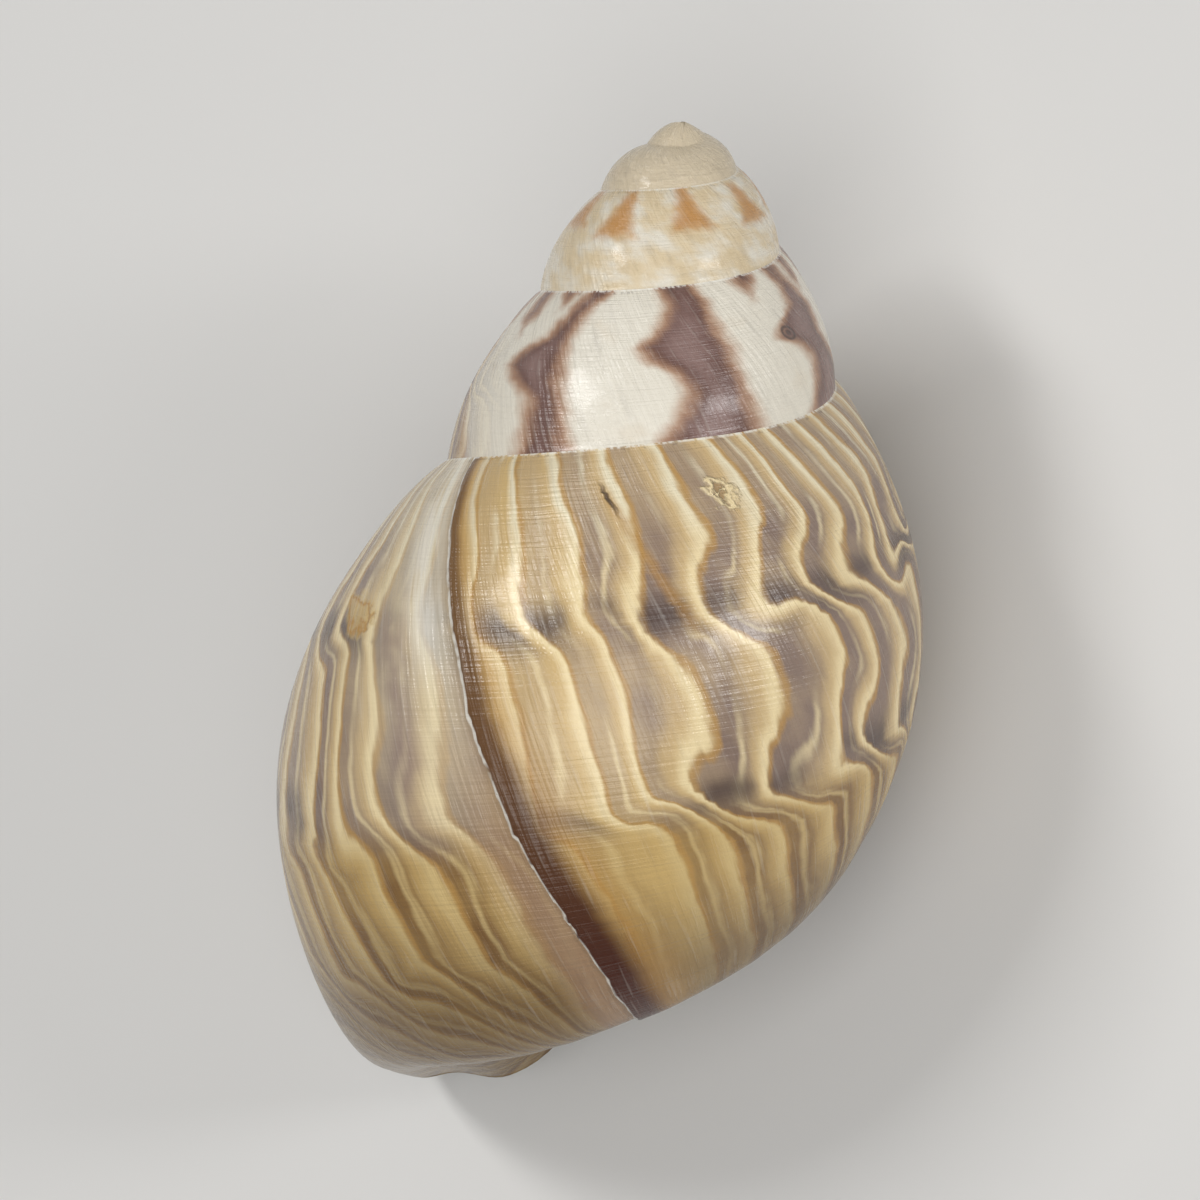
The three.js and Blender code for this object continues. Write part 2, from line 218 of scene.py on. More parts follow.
# The marks, as fields of the turn and the angle that the material reads. Dark flames come down
# from the seams of the upper whorls; each is given by its older and younger edge, in whorls, at
# these angles of the section. Further round they repeat with the same spacing.
FLAME_ANGLES = (-0.1, 0.0, 0.2, 0.35, 0.48, 0.58, 0.7, 0.8, 1.0, 1.25, 1.5)
FLAME_EDGES = (
    ((-0.835, -0.835, -0.838, -0.842, -0.845, -0.85, -0.855, -0.862, -0.882, -0.925, -0.95),
     (-0.77, -0.78, -0.797, -0.802, -0.782, -0.775, -0.795, -0.825, -0.853, -0.885, -0.91)),
    ((-0.998, -1.0, -1.003, -1.007, -1.01, -1.014, -1.018, -1.02, -1.025, -1.027, -1.03),
     (-0.88, -0.905, -0.935, -0.95, -0.945, -0.926, -0.926, -0.948, -0.973, -0.977, -0.975)),
    ((-1.165, -1.165, -1.16, -1.152, -1.15, -1.16, -1.17, -1.17, -1.168, -1.172, -1.175),
     (-1.05, -1.062, -1.088, -1.1, -1.092, -1.072, -1.085, -1.12, -1.137, -1.138, -1.14)),
)
FLAME_SPACING = 0.45
DROPS = ((-0.798, 0.87, 0.016), (-0.848, 1.1, 0.014), (-1.09, 1.02, 0.017), (-0.745, 0.92, 0.014))
# The older whorls have spots with a tail instead: turn and angle of the spot, then of the tail.
SPOTS = ((-1.75, 0.72, -1.79, 1.2), (-1.845, 0.6, -1.89, 1.2), (-1.975, 0.66, -2.0, 1.3),
         (-2.1, 0.62, -2.12, 1.15))
UPPER_ROUND = -1.5


def flame_field(turn, angle):
    """How far inside a flame a place is, in whorls, and negative outside: the least distance to
    its two edges, or on the older whorls half a spot's width less the distance to its tail."""
    field = np.full(np.broadcast(turn, angle).shape, -1.0)
    for older, younger in FLAME_EDGES:
        for again in range(-2, 5):
            away = turn + again * FLAME_SPACING
            left = np.interp(angle, FLAME_ANGLES, older)
            right = np.interp(angle, FLAME_ANGLES, younger)
            field = np.maximum(field, np.minimum(away - left, right - away))
    for at_turn, tip, half in DROPS:
        for again in range(-2, 5):
            away = turn + again * FLAME_SPACING - at_turn + 0.06 * (angle - 1.1)
            rounded = half * np.sqrt(np.clip((angle - tip) / 0.15, 0, 1))
            field = np.maximum(field, np.minimum(rounded - np.abs(away), 0.1 * (angle - tip)))
    spots = np.full_like(field, -1.0)
    for at_turn, tip, tail_turn, tail in SPOTS:
        for again in range(-1, 4):
            up = np.clip((angle - tip) / (tail - tip), 0, 1)
            away = np.abs(turn + again * FLAME_SPACING - mix(at_turn, tail_turn, up))
            spot = mix(0.034, 0.012, up ** 0.6) - away
            ends = 0.12 * np.minimum(angle - tip + 0.06, tail + 0.1 - angle)
            spots = np.maximum(spots, np.minimum(spot, ends))
    return np.where(turn < UPPER_ROUND, spots, field)


# Pale lines edge the streaks of the last whorl. They follow its growth lines, but at two levels
# they swing forward to a cusp. Turns of the lines above, between and below the two levels:
LINES_ABOVE = (-0.185, -0.15, -0.125, -0.09, -0.065, -0.035, 0.01, 0.052, 0.088, 0.125, 0.155,
               0.19, 0.22, 0.25, 0.28)
LINES_BETWEEN = (-0.215, -0.175, -0.13, -0.087, -0.057, -0.031, 0.013, 0.063, 0.094, 0.118, 0.15,
                 0.195, 0.232, 0.256, 0.278)
LINES_BELOW = (-0.19, -0.16, -0.13, -0.1, -0.065, -0.03, 0.004, 0.042, 0.072, 0.1, 0.145,
               0.19, 0.223, 0.26, 0.295)
CUSPS = (0.42, -0.27)
LINE_SPACING = 0.036


def lines_passed(turn, lines):
    """How many lines lie behind a place, with parts of a line; they go on evenly either way, at
    one spacing, so that the three counts keep together."""
    n = len(lines)
    before = lines[0] - LINE_SPACING * np.arange(20, 0, -1)
    after = lines[-1] + LINE_SPACING * np.arange(1, 21)
    places = np.concatenate([before, lines, after])
    return np.interp(turn, places, np.arange(-20, n + 20))


def streak_phase(turn, angle):
    """The count of pale lines behind a place. Above a cusp's level the lines swing forward
    slowly, below it they swing back at once."""
    swing = 0.009 + 0.021 * smooth((0.14 - turn) / 0.14) + 0.008 * smooth((turn - 0.19) / 0.05)
    swing = swing * (1 + 0.3 * np.sin(71 * turn + 2 * angle) * np.sin(29 * turn + 1))
    angle = angle + 0.035 * np.sin(47 * turn) + 0.03 * np.sin(113 * turn + 1)
    coming = sum(smooth(1 - (angle - level) / 0.4) * (angle >= level) for level in CUSPS)
    going = sum(smooth(1 - (level - angle) / 0.17) * (angle < level) for level in CUSPS)
    slant = 0.16 * np.maximum(-0.85 - angle, 0) * smooth((turn - 0.16) / 0.1)
    place = turn - swing * (coming + going) + slant
    above = lines_passed(place, LINES_ABOVE)
    between = lines_passed(place, LINES_BETWEEN)
    below = lines_passed(place, LINES_BELOW)
    phase = mix(above, between, smooth((CUSPS[0] + 0.04 - angle) / 0.16))
    return mix(phase, below, smooth((CUSPS[1] + 0.02 - angle) / 0.12))


# The open faces of the whorls above the last one, each from its seam down to the next.
SPIRE_ROWS = 26
down = (np.arange(SPIRE_ROWS + 1) / SPIRE_ROWS)[:, None]
w = whorls[None, :last + 1]
top = slice(0, last + 1)
foot = slice(PER_WHORL, mouth + 1)
bulge = NUCLEUS_BULGE * 4 * down * (1 - down) * np.minimum(1, seam_r[foot] / grown_r) ** 2
spire_angle = mix(seam_angle[top], seam_older[foot], down)
spire_turn = w + lip_lag(spire_angle, seam_angle[top])
ready = smooth((w - NUCLEUS_END) / SPIRE_SETTLING)
shown = smooth(4 * down) * smooth(6 * (1 - down)) * ready
spire_inset = -relief(spire_turn, spire_angle) * shown
body_r, body_depth = section_point(spire_angle, np.maximum(w, NUCLEUS_END), spire_inset)
r = mix(mix(seam_r[top], seam_r[foot], down) + bulge, body_r, ready)
depth = mix(mix(seam_depth[top], seam_depth[foot], down) - bulge, body_depth, ready)
spire = hanging(r, depth, w)

# The hollow of the last whorls, and the side of the whorl before where it closes the hollow.
CAVITY_ROWS = 48
SIDE_ROWS = 60
INSIDE_STEPS = 96
inside = MOUTH_AT - CAVITY_DEPTH + np.arange(round(CAVITY_DEPTH * INSIDE_STEPS) + 1) / INSIDE_STEPS
inside[-1] = MOUTH_AT
roof, roof_older, _, _ = meeting(inside, 2.6, 0.0, True)
pillar, pillar_older, _, _ = meeting(inside - LIP_LAG, -math.pi - 0.6, -math.pi / 2, True)
across = (np.arange(CAVITY_ROWS + 1) / CAVITY_ROWS)[:, None]
hollow_angle = mix(roof, pillar, across)
hollow_turn = inside - lip_lag(hollow_angle, roof)
hollow_wall = wall_at(hollow_angle, hollow_turn)
hollow = hanging(*section_point(hollow_angle, hollow_turn, hollow_wall), hollow_turn)
across = (np.arange(SIDE_ROWS + 1) / SIDE_ROWS)[:, None]
side_angle = mix(roof_older, pillar_older, across)
side_turn = inside - 1 - LIP_LAG * smooth(across)
side = hanging(*section_point(side_angle, side_turn), side_turn)
side[0], side[-1] = hollow[0], hollow[-1]

# The last whorl's outer face, from the seam down over the base to the axis. Its first column
# runs through the mouth, along the spire and the side of the hollow.
FOOT_ROWS = 8
w = whorls[None, last:]
share = w - (MOUTH_AT - 1)
angle_top = seam_angle[last:]
rows = np.concatenate([
    mix(angle_top, seam_older[mouth], (np.arange(SPIRE_ROWS + 1) / SPIRE_ROWS)[:, None]),
    mix(roof_older[-1], pillar_older[-1], (np.arange(SIDE_ROWS + 1) / SIDE_ROWS)[:, None] + 0 * w),
    mix(pillar_older[-1], NAVEL_ANGLE, (np.arange(1, FOOT_ROWS) / (FOOT_ROWS - 1))[:, None] + 0 * w),
])
first_lag = np.concatenate([
    np.zeros(SPIRE_ROWS + 1),
    LIP_LAG * smooth(np.arange(SIDE_ROWS + 1) / SIDE_ROWS),
    np.full(FOOT_ROWS - 1, LIP_LAG),
])[:, None]
at = w - mix(first_lag, lip_lag(rows, angle_top), share)
base_turn = at + lip_lag(rows, angle_top)
shown = smooth((angle_top - rows) / 0.08) * smooth((rows - NAVEL_ANGLE) / 0.5)
shown = shown * smooth((w + 0.5) / 0.05)
r, depth = section_point(rows, at, -relief(base_turn, rows) * shown)
base = hanging(r, depth, at)
base[0] = hanging(seam_r[last:], seam_depth[last:], w[0])
axis = hanging(0 * w, section_point(NAVEL_ANGLE, w - LIP_LAG)[1] - NAVEL_PIT, w - LIP_LAG)
base = np.concatenate([base, axis])
base[:SPIRE_ROWS + 1, 0] = spire[:, -1]
base[SPIRE_ROWS + 1:SPIRE_ROWS + SIDE_ROWS + 2, 0] = side[:, -1]
rows = np.concatenate([rows, rows[-1:]])
base_turn = np.concatenate([base_turn, base_turn[-1:]])

# Every face is listed first with corners of its own, so that the turn and the angle stored
# with a corner can differ from one whorl to the next across a seam.
LIP_LINES = 4
LIP_ROUNDNESS = 0.5
LIP_MAX_PUSH = 0.5
FADE_LINES = 60
points, corner_turns, corner_angles, insides, under_seams, quads = [], [], [], [], [], []


def add_points(place, turn, angle, inner, under_seam):
    """Adds points with what they store; the number of the first of them."""
    start = sum(len(p) for p in points)
    points.append(place.reshape(-1, 3))
    corner_turns.append(np.broadcast_to(turn, place.shape[:-1]).ravel())
    corner_angles.append(np.broadcast_to(angle, place.shape[:-1]).ravel())
    insides.append(np.full(place.shape[:-1], float(inner)).ravel())
    under_seams.append(np.broadcast_to(under_seam, place.shape[:-1]).ravel())
    return start


def add_sheet(place, turn, angle, inner, faces_back, under_seam=9.0):
    """Adds a grid of points (row, column) and the squares between them."""
    start = add_points(place, turn, angle, inner, under_seam)
    n, m = place.shape[:2]
    k = start + np.arange(n * m).reshape(n, m)
    square = np.stack([k[:-1, :-1], k[:-1, 1:], k[1:, 1:], k[1:, :-1]], axis=-1)
    quads.append(square[..., ::-1].reshape(-1, 4) if faces_back else square.reshape(-1, 4))


def add_band(left, right, roundness, turn):
    """Closes the gap between two lines, always over the shorter diagonal, as a rounded band."""
    push_way = np.stack([left[:, 1], -left[:, 0], 0 * left[:, 0]], axis=1)
    push_way = push_way / np.linalg.norm(push_way, axis=1)[:, None]
    u = np.arange(LIP_LINES + 1)[:, None] / LIP_LINES

    def line(i, j):
        to_end = len(left) + len(right) - 2 - i - j
        wide = np.linalg.norm(left[i] - right[j])
        push = min(roundness * wide, LIP_MAX_PUSH) * smooth(to_end / FADE_LINES - 0.2)
        if i + j == 0 or to_end == 0:
            return np.concatenate([left[i:i + 1], np.repeat(right[j:j + 1], LIP_LINES, axis=0)])
        return mix(left[i], right[j], u) + push * np.sqrt(4 * u * (1 - u)) * push_way[i]

    i = j = 0
    lines = [line(0, 0)]
    while i + 1 < len(left) or j + 1 < len(right):
        by_left = np.linalg.norm(left[i + 1] - right[j]) if i + 1 < len(left) else math.inf
        by_right = np.linalg.norm(left[i] - right[j + 1]) if j + 1 < len(right) else math.inf
        i, j = (i + 1, j) if by_left <= by_right else (i, j + 1)
        lines.append(line(i, j))
    grid = np.stack(lines, axis=1)
    add_sheet(grid, turn, 0.0, True, True)


# An outer face also stores how far below its seam a place is, in millimetres.
SECTION_REACH = 17.0
spire_under = (seam_angle[top] - spire_angle) * SECTION_REACH * np.exp(RADIAL_GROWTH * whorls[top])
base_under = (angle_top - rows) * SECTION_REACH * np.exp(RADIAL_GROWTH * whorls[last:])
add_sheet(spire, spire_turn, spire_angle, False, False, spire_under)
add_sheet(base, base_turn, rows, False, False, base_under)
add_sheet(hollow, hollow_turn, hollow_angle, True, True)
add_sheet(side, side_turn + lip_lag(side_angle, seam_angle[last]), side_angle, True, False)
add_band(side[:, 0], hollow[:, 0], 0.0, -2.4)
axis_line = base[-FOOT_ROWS:, 0]
lip_line = np.concatenate([base[:, -1], base[-1, -2:0:-1], axis_line[::-1]])
add_band(hollow[:, -1], lip_line, LIP_ROUNDNESS, MOUTH_AT)

# The one mesh: corners that lie together are joined, and it is turned to lie on its mouth and
# set into the solid's place. It is a hair smaller, since the solid's flat faces cut its curves.
SHRINK = 0.995
place = np.concatenate(points)
down_now = Vector(GROUND_SIDE).normalized()
lay = down_now.rotation_difference(Vector((0, 0, -1))).to_matrix()
apex = lay @ Vector((0, 0, 1))
lay = Matrix.Rotation(math.atan2(apex.x, apex.y), 3, "Z") @ lay
lay = np.array(lay)
laid = place @ lay.T
solid_low, solid_high = (np.array(corner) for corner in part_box("shell"))
own_middle = (laid.min(axis=0) + laid.max(axis=0)) / 2
laid = (laid - own_middle) * 0.001 * SHRINK + (solid_low + solid_high) / 2
laid[:, 2] += solid_low[2] - laid[:, 2].min()

mesh = bpy.data.meshes.new("snail_shell")
mesh.from_pydata(laid.tolist(), [], np.concatenate(quads).tolist())
corner = np.empty(len(mesh.loops), dtype=np.int32)
mesh.loops.foreach_get("vertex_index", corner)
corner_turn = np.concatenate(corner_turns)
corner_angle = np.concatenate(corner_angles)


def store(name, first, second):
    """Keeps two numbers of each point as a UV map, for the material to read."""
    pairs = np.stack([first[corner], second[corner]], axis=1).astype(np.float32)
    mesh.uv_layers.new(name=name).data.foreach_set("uv", pairs.ravel())


store("growth", corner_turn, corner_angle)
store("marks", streak_phase(corner_turn, corner_angle), 10 * flame_field(corner_turn, corner_angle))
store("old_lip", 10 * (corner_turn - old_lip_at(corner_angle)), np.concatenate(insides))
store("seam", np.concatenate(under_seams), 0 * corner_turn)

work = bmesh.new()
work.from_mesh(mesh)
bmesh.ops.remove_doubles(work, verts=work.verts, dist=1e-7)
bmesh.ops.dissolve_degenerate(work, edges=work.edges, dist=1e-8)
work.to_mesh(mesh)
work.free()
mesh.shade_smooth()
shell = bpy.data.objects.new("snail_shell", mesh)
bpy.context.collection.objects.link(shell)


class Field:
    """A number or a colour worked out by a material's nodes; sums with it add the nodes."""

    def __init__(self, tree, socket=None):
        self.tree = tree
        self.socket = socket

    def node(self, kind, settings=None, inputs=None, output=0):
        """Adds a node with these settings and inputs; the field of one of its outputs."""
        made = self.tree.nodes.new(kind)
        for name, value in (settings or {}).items():
            setattr(made, name, value)
        for name, value in (inputs or {}).items():
            if isinstance(value, Field):
                self.tree.links.new(value.socket, made.inputs[name])
            else:
                made.inputs[name].default_value = value
        return Field(self.tree, made.outputs[output])

    def math(self, operation, *others):
        values = dict(enumerate((self,) + others))
        return self.node("ShaderNodeMath", {"operation": operation}, values)

    def __add__(self, other):
        return self.math("ADD", other)

    __radd__ = __add__

    def __sub__(self, other):
        return self.math("SUBTRACT", other)

    def __rsub__(self, other):
        return (self * -1) + other

    def __mul__(self, other):
        return self.math("MULTIPLY", other)

    __rmul__ = __mul__

    def __truediv__(self, other):
        return self.math("DIVIDE", other)

    def __rtruediv__(self, other):
        return self.math("POWER", -1) * other

    def __abs__(self):
        return self.math("ABSOLUTE")

    def rise(self, start, end):
        """0 up to start and 1 from end, or the other way round, smooth between."""
        low, high, first, second = (start, end, 0.0, 1.0) if start < end else (end, start, 1.0, 0.0)
        ends = {"Value": self, "From Min": low, "From Max": high, "To Min": first, "To Max": second}
        return self.node("ShaderNodeMapRange", {"interpolation_type": "SMOOTHSTEP"}, ends)

    def near(self, place, width):
        """1 at a place, falling to 0 a width away on either side."""
        return abs(self - place).rise(width, 0.0)

    def noise(self, other, detail=2.0, seed=0.0):
        """Smooth noise from 0 to 1 over the plane of this number and another."""
        place = self.node("ShaderNodeCombineXYZ", None, {"X": self, "Y": other, "Z": seed})
        return self.node("ShaderNodeTexNoise", None, {"Vector": place, "Scale": 1.0, "Detail": detail})

    def painted(self, colour, amount):
        """This colour with another laid over it by an amount."""
        over = colour if isinstance(colour, Field) else (*colour, 1.0)
        under = self if self.socket else None
        mixed = self.tree.nodes.new("ShaderNodeMix")
        mixed.data_type = "RGBA"
        for index, value in ((0, amount), (6, under), (7, over)):
            if isinstance(value, Field):
                self.tree.links.new(value.socket, mixed.inputs[index])
            elif value is not None:
                mixed.inputs[index].default_value = value
        return Field(self.tree, mixed.outputs[2])


def map_of(tree, name):
    """The two numbers of a UV map, as fields."""
    uv = Field(tree).node("ShaderNodeUVMap", {"uv_map": name})
    return tuple(uv.node("ShaderNodeSeparateXYZ", None, {"Vector": uv}, k) for k in (0, 1))


def plain_colour(tree, colour):
    """A colour as a field."""
    made = tree.nodes.new("ShaderNodeRGB")
    made.outputs[0].default_value = (*colour, 1.0)
    return Field(tree, made.outputs[0])


# The material, from the oldest marks to the newest: buff apex, ivory with flames, streaks.
CREAM = (0.88, 0.72, 0.42)
WHITE_CREAM = (0.84, 0.76, 0.55)
TAN = (0.58, 0.43, 0.25)
MAUVE = (0.255, 0.18, 0.14)
OCHRE = (0.46, 0.245, 0.06)
GOLD = (0.66, 0.46, 0.18)
BLOTCH = (0.085, 0.055, 0.047)
LOW_CREAM = (0.66, 0.49, 0.22)
LOW_GOLD = (0.40, 0.255, 0.09)
LOW_BROWN = (0.21, 0.11, 0.035)
BASE_SHADE_BROWN = (0.11, 0.06, 0.024)
IVORY = (0.79, 0.74, 0.63)
PURPLE = (0.25, 0.16, 0.145)
DARK_PURPLE = (0.12, 0.055, 0.045)
RUST = (0.36, 0.135, 0.035)
APRICOT = (0.52, 0.23, 0.04)
BUFF = (0.70, 0.56, 0.35)
APEX_BUFF = (0.70, 0.59, 0.42)
OXBLOOD = (0.06, 0.012, 0.004)
ROSE = (0.36, 0.23, 0.14)
CHALK = (0.85, 0.82, 0.74)

skin = bpy.data.materials.new("shell")
skin.use_nodes = True
tree = skin.node_tree
surface = tree.nodes["Principled BSDF"]
turn, angle = map_of(tree, "growth")
phase, flame = map_of(tree, "marks")
since, inside_share = map_of(tree, "old_lip")
under_seam = map_of(tree, "seam")[0]
size = (turn * RADIAL_GROWTH).math("EXPONENT")
length = size * 276.0

# The streaks of the last whorl: pale lines, sharp and ochre on their older side, fading through
# tan to grey-mauve on the other. Their lower part is golden and brown.
wander = (turn * 26).noise(angle * 2.4, 3.0) - 0.5
drift = (turn * 9).noise(angle * 1.1, 2.0, 3.0) - 0.5
cloud = (turn * 34).noise(angle * 3.2, 3.0, 6.0)
fine = (length * 1.1).noise(angle * 2.2, 3.0, 9.0)
part = (phase + wander * 0.6 + (fine - 0.5) * 0.12).math("FRACT")
line = part.rise(0.24, 0.0).math("MAXIMUM", part.rise(0.91, 1.0))
line = line * (0.8 + drift * 1.6).rise(0.1, 0.75)
halo = part.rise(0.62, 0.1).math("MAXIMUM", part.rise(0.8, 0.93))
second = part.near(0.5, 0.11) * (wander * 3 + drift * 2 + turn.rise(0.2, 0.26) * 0.4).rise(-0.3, 0.4)
below = angle.rise(-0.22, -0.42)
scallops = (phase * 2 + 0.35 + wander * 1.2).math("FRACT").near(0.5, 0.22)
scallops = scallops * below * (cloud * 2).rise(0.4, 0.9)
high = angle.rise(0.55, 1.0)
before_lip = since.rise(-1.1, -0.4) * since.rise(0.0, -0.02)
older_side = turn.rise(0.1, -0.08)

streaks = plain_colour(tree, TAN).painted(LOW_GOLD, below)
streaks = streaks.painted(GOLD, before_lip * 0.6 + below.math("MULTIPLY", 0.15))
shade = plain_colour(tree, MAUVE).painted(LOW_BROWN, below)
pale = plain_colour(tree, CREAM).painted(WHITE_CREAM, high).painted(LOW_CREAM, below)
dark = part.rise(0.18, 0.5) * part.rise(0.99, 0.86) * (cloud * 1.5 - 0.05 + older_side * 0.25)
streaks = streaks.painted(shade, dark * (1 - before_lip * 0.65) * (1 - high * 0.45) * 1.1)
streaks = streaks.painted(GOLD, halo * 0.42)
streaks = streaks.painted(OCHRE, part.near(0.885, 0.085) * (0.35 + cloud * 0.5))
lines = line.math("MAXIMUM", second * 0.7).math("MAXIMUM", scallops * 0.75)
streaks = streaks.painted(pale, lines * 0.92)
cusp = angle.near(CUSPS[0] - 0.02, 0.16).math("MAXIMUM", angle.near(CUSPS[1] + 0.03, 0.14))
patches = (turn * 17).noise(angle * 3, 1.0, 8.0).rise(0.36, 0.56)
blot = cusp * part.rise(0.12, 0.4) * part.rise(0.99, 0.84) * patches
streaks = streaks.painted(BLOTCH, blot * 0.85)

# After the old lip: a whitish streak with mauve beside it, then streaks again.
light_side = turn.rise(0.17, 0.185) * turn.rise(0.27, 0.2) * angle.rise(-0.5, 0.1)
streaks = streaks.painted(WHITE_CREAM, light_side * 0.4)
whitish = turn.near(0.195, 0.022) * angle.rise(0.1, 0.5) * fine.rise(0.25, 0.55)
streaks = streaks.painted(CHALK, whitish * 0.7)
mauve_beside = turn.near(0.216, 0.02) * angle.rise(-0.45, -0.15) * angle.rise(0.75, 0.4)
streaks = streaks.painted(PURPLE, mauve_beside * cloud.rise(0.3, 0.6) * 0.6)
# Painted shade: the whorl darkened to brown towards its base, where the light falls off towards the
# floor.
streaks = streaks.painted(BASE_SHADE_BROWN, angle.rise(-0.5, -1.15) * 0.68)

# The older whorls: ivory or buff with flames, mauve at heart and rust at the rim.
old = turn.rise(UPPER_ROUND + 0.1, UPPER_ROUND - 0.3)
smudge = (turn * 22).noise(angle * 3, 4.0, 5.0)
ground = plain_colour(tree, IVORY).painted(BUFF, old * smudge.rise(0.3, 0.62) * 0.95)
ground = ground.painted(TAN, smudge.rise(0.55, 0.85) * 0.3)
inside_flame = flame + ((turn * 50).noise(angle * 6, 4.0, 2.0) - 0.5) * 0.2
heart = plain_colour(tree, DARK_PURPLE).painted(PURPLE, inside_flame.rise(0.1, 0.4))
heart = heart.painted(PURPLE, smudge.rise(0.4, 0.7) * 0.6).painted(APRICOT, old)
rim = plain_colour(tree, RUST).painted(APRICOT, old)
flames = ground.painted(rim, inside_flame.rise(-0.12, 0.08) * (0.78 - old * 0.1))
flames = flames.painted(heart, inside_flame.rise(-0.01, 0.2) * (0.95 - old * 0.35))

colour = flames.painted(streaks, turn.rise(-0.79, -0.62))
colour = colour.painted(APEX_BUFF, turn.rise(-2.45, -2.8))

# The old lip's chalky edge, with the dark band the lip had on its inside before it.
band = since.math("MULTIPLY", -0.1)
wide = angle.rise(0.9, -1.1)
depth = band / (0.0095 + wide * 0.014)
after = since.rise(-0.001, 0.004)
colour = colour.painted(ROSE, after * since.rise(0.35, 0.1) * angle.rise(0.35, -0.6) * 0.8)
colour = colour.painted(OCHRE, depth.rise(2.4, 0.8) * band.rise(0.0, 0.001) * 0.6)
colour = colour.painted(OXBLOOD, depth.rise(1.35, 0.5) * band.rise(0.0, 0.001) * (0.7 + wide * 0.3))
flaked = (angle * 14).noise(turn * 60, 3.0, 7.0).rise(0.28, 0.5)
colour = colour.painted(CHALK, band.rise(-0.0016, -0.0004) * band.rise(0.0018, 0.0008) * flaked * 0.8)

# Scars. A healed star of chalky ridges, a crack with a rusty run below it, an ochre sore after
# the old lip and a small dark pit on the whorl before: middle in turns and angle, and size.
around = (turn + 0.018) / 0.0095
up = (angle - 0.94) / 0.075
star = (around * around + up * up).math("SQRT")
star = star + ((turn * 150).noise(angle * 18, 2.0, 12.0) - 0.5) * 2.2
vein = (turn * 210).noise(angle * 22, 0.0, 15.0).near(0.5, 0.07) * star.rise(1.0, 0.7)
ridge = star.near(0.8, 0.5).math("MAXIMUM", vein)
# Painted shadow: brown under and round the star's chalky ridges.
colour = colour.painted(LOW_BROWN, star.rise(1.35, 0.9) * 0.45).painted(CREAM, ridge * 0.9)
crack_at = turn - 0.057 - (angle - 0.95) * 0.02 - ((angle * 18).noise(0.0, 2.0, 13.0) - 0.5) * 0.01
crack = crack_at.near(0.0, 0.0022) * angle.near(0.97, 0.13)
run = crack_at.near(0.0, 0.007) * angle.rise(0.2, 0.5) * angle.rise(1.1, 0.9)
colour = colour.painted(OCHRE, run * 0.6).painted(BLOTCH, crack * 0.9)
sore = ((turn - 0.25) / 0.017).math("POWER", 2.0) + ((angle - 0.47) / 0.1).math("POWER", 2.0)
sore = sore + ((turn * 90).noise(angle * 12, 3.0, 14.0) - 0.5) * 2.6
colour = colour.painted(GOLD, sore.rise(1.3, 0.5) * 0.7).painted(OCHRE, sore.near(0.5, 0.35) * 0.85)
around = (turn + 1.09) / 0.012
up = (angle - 0.6) / 0.09
pit = (around * around + up * up).math("SQRT")
colour = colour.painted(BLOTCH, pit.rise(1.1, 0.7) * (0.5 + 0.4 * (pit * 12).math("SINE")))

# Along a seam: a pale uneven thread, brown specks just below it.
specks = (turn * 240).noise(under_seam * 1.5, 2.0, 10.0)
thread_share = under_seam.rise(0.34, 0.1) * turn.rise(-2.9, -2.4)
speckled = under_seam.near(0.42, 0.3) * specks.rise(0.5, 0.68) * turn.rise(-2.6, -2.0)
colour = colour.painted(BLOTCH, speckled * 0.4)
colour = colour.painted(CHALK, thread_share * specks.rise(0.62, 0.42) * 0.75)

stria = (length * 2.6).noise(angle * 3, 3.0, 1.0)
thread = (turn * 14).noise(angle * 75, 2.0, 4.0)
colour = colour.painted(CHALK, stria.rise(0.55, 0.8) * 0.14)
colour = colour.painted(BLOTCH, fine.rise(0.5, 0.25) * 0.12)
colour = colour.painted(IVORY, inside_share * 0.75)
rough = 0.19 + stria * 0.14 + inside_share * 0.15
relief_height = stria * 0.6 + thread * 0.36
relief_height = relief_height + ridge * 0.7 - crack * 1.5 - sore.rise(1.0, 0.4) * fine * 0.9
bump_inputs = {"Height": relief_height, "Strength": 1.0, "Distance": 0.00019}
bump = relief_height.node("ShaderNodeBump", None, bump_inputs)

tree.links.new(colour.socket, surface.inputs["Base Color"])
tree.links.new(rough.socket, surface.inputs["Roughness"])
tree.links.new(bump.socket, surface.inputs["Normal"])
surface.inputs["IOR"].default_value = 1.53
surface.inputs["Coat Weight"].default_value = 0.2
surface.inputs["Coat Roughness"].default_value = 0.12
mesh.materials.append(skin)
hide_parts("shell")
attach(shell, "root")

# ---------------------------------------------------------------------------------------------
# The floor: a plain pale sheet the shell lies on.

floor_mesh = bpy.data.meshes.new("floor")
floor_mesh.from_pydata([(-3, -3, 0), (3, -3, 0), (3, 3, 0), (-3, 3, 0)], [], [(0, 1, 2, 3)])
floor = bpy.data.objects.new("floor", floor_mesh)
bpy.context.collection.objects.link(floor)
paper = bpy.data.materials.new("paper")
paper.use_nodes = True
paper.node_tree.nodes["Principled BSDF"].inputs["Base Color"].default_value = (0.72, 0.71, 0.69, 1)
paper.node_tree.nodes["Principled BSDF"].inputs["Roughness"].default_value = 0.9
floor_mesh.materials.append(paper)

# ---------------------------------------------------------------------------------------------
# The light: soft studio light.

world = bpy.data.worlds.new("studio")
world.use_nodes = True
world.node_tree.nodes["Background"].inputs["Color"].default_value = (1, 1, 1, 1)
world.node_tree.nodes["Background"].inputs["Strength"].default_value = 0.2
bpy.context.scene.world = world

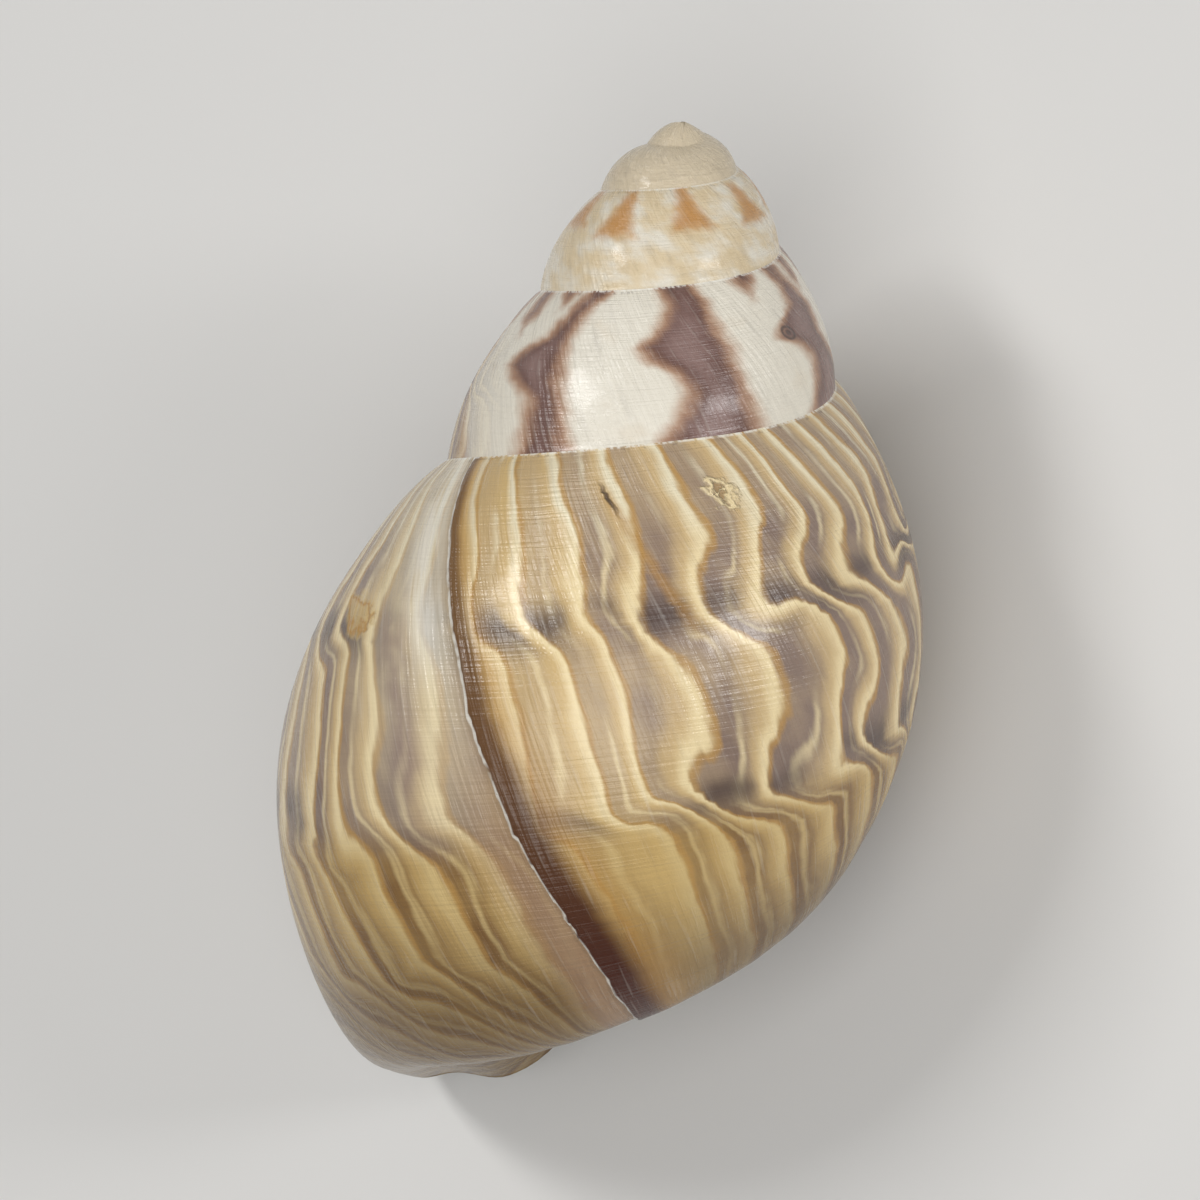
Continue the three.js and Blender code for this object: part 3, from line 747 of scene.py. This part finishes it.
# Each lamp: the way it lies from the shell, its width and height, and its power.
LAMP_AWAY = 0.5
LAMPS = (
    ("lamp_left", (-0.4, 0.26, 0.86), (0.07, 0.2), 0.9),
    ("lamp_right", (0.89, 0.25, 0.40), (0.07, 0.2), 0.75),
    ("lamp_front", (0.3, -0.3, 0.9), (0.4, 0.4), 1.1),
)
for name, way, (wide, high), power in LAMPS:
    lamp = bpy.data.lights.new(name, "AREA")
    lamp.shape = "RECTANGLE"
    lamp.size = wide
    lamp.size_y = high
    lamp.energy = power
    lamp_object = bpy.data.objects.new(name, lamp)
    bpy.context.collection.objects.link(lamp_object)
    way = Vector(way).normalized()
    lamp_object.location = way * LAMP_AWAY + Vector((0, 0, 0.02))
    lamp_object.rotation_euler = way.to_track_quat("Z", "Y").to_euler()
bpy.context.scene.view_settings.view_transform = "Standard"

# ---------------------------------------------------------------------------------------------
# The camera: looks down on the shell, square to the side the shell's axis leans from, apex up.

PIVOT_DEPTH = 35.71
CAMERA_DISTANCE = 400.0
LOOK_DOWN = 0.2081
ROLL = 0.0679
FOCAL_BY_HALF_FRAME = 5600 / 600

ahead = np.array([0, math.cos(LOOK_DOWN), -math.sin(LOOK_DOWN)])
upward = np.array([0, math.sin(LOOK_DOWN), math.cos(LOOK_DOWN)])
right = math.cos(ROLL) * np.array([1, 0, 0]) + math.sin(ROLL) * upward
upward = np.cross(right, ahead)
eye = np.array([0, 0, -PIVOT_DEPTH]) - CAMERA_DISTANCE * ahead
eye = (lay @ eye - own_middle) * 0.001 * SHRINK + (solid_low + solid_high) / 2
turned = np.stack([lay @ right, lay @ upward, -(lay @ ahead)], axis=1)
lens = bpy.data.cameras.new("camera")
camera = bpy.data.objects.new("camera", lens)
bpy.context.collection.objects.link(camera)
camera.matrix_world = Matrix.Translation(Vector(eye)) @ Matrix(turned.tolist()).to_4x4()
lens.sensor_width = 36.0
lens.lens = FOCAL_BY_HALF_FRAME * 18.0
lens.shift_x = -0.0442
lens.shift_y = -0.0207
bpy.context.scene.camera = camera
